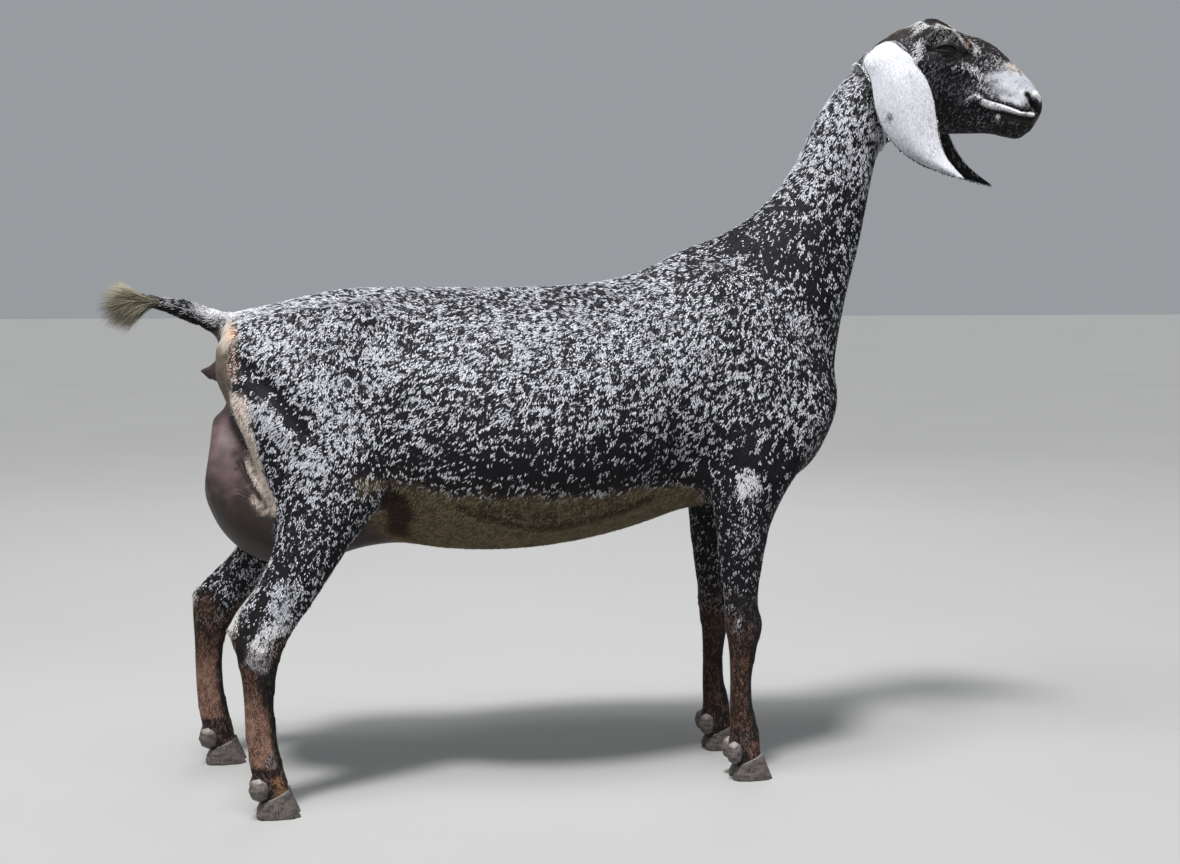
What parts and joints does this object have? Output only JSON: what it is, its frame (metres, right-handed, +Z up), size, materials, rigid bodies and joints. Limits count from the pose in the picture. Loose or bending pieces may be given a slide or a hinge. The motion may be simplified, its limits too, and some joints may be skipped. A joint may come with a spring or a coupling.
{
  "type": "nubian goat, standing doe, still model",
  "caption": "Life-size still model of a long-eared dairy doe standing square with a raised tail, full udder, cloven hooves and a chain collar.",
  "frame": {"origin": "middle of the bounding box, on the floor the hooves stand on", "axes": "+X towards the nose, +Y to the animal's left, +Z up"},
  "size_m": [1.3638, 0.3444, 1.1187],
  "materials": {
    "speckled_coat": "short flat hair, black ticked with white",
    "brown_coat": "very short dark brown hair",
    "ear_coat": "short silky white hair, dark inside",
    "tail_hair": "long coarse hair, buff and black",
    "udder_skin": "bare, finely wrinkled skin",
    "hoof_horn": "dull horn with growth rings",
    "eye": "wet, dark brown with a bar pupil",
    "chain": "bright steel links"
  },
  "bodies": {
    "root": {"head": "speckled_coat", "lower_jaw": "speckled_coat", "neck": "speckled_coat", "trunk": "speckled_coat", "tail": "speckled_coat", "tail_switch": "tail_hair", "ear_right": "ear_coat", "ear_left": "ear_coat", "eye_right": "eye", "eye_left": "eye", "udder": "udder_skin", "teat_right": "udder_skin", "teat_left": "udder_skin", "shoulder_right": "speckled_coat", "forearm_right": "speckled_coat", "fore_cannon_right": "brown_coat", "fore_pastern_right": "brown_coat", "fore_claw_outer_right": "hoof_horn", "fore_claw_inner_right": "hoof_horn", "fore_dewclaw_outer_right": "hoof_horn", "fore_dewclaw_inner_right": "hoof_horn", "thigh_right": "speckled_coat", "shank_right": "speckled_coat", "hind_cannon_right": "brown_coat", "hind_pastern_right": "brown_coat", "hind_claw_outer_right": "hoof_horn", "hind_claw_inner_right": "hoof_horn", "hind_dewclaw_outer_right": "hoof_horn", "hind_dewclaw_inner_right": "hoof_horn", "shoulder_left": "speckled_coat", "forearm_left": "speckled_coat", "fore_cannon_left": "brown_coat", "fore_pastern_left": "brown_coat", "fore_claw_outer_left": "hoof_horn", "fore_claw_inner_left": "hoof_horn", "fore_dewclaw_outer_left": "hoof_horn", "fore_dewclaw_inner_left": "hoof_horn", "thigh_left": "speckled_coat", "shank_left": "speckled_coat", "hind_cannon_left": "brown_coat", "hind_pastern_left": "brown_coat", "hind_claw_outer_left": "hoof_horn", "hind_claw_inner_left": "hoof_horn", "hind_dewclaw_outer_left": "hoof_horn", "hind_dewclaw_inner_left": "hoof_horn", "collar_chain": "chain"}
  },
  "joints": []
}
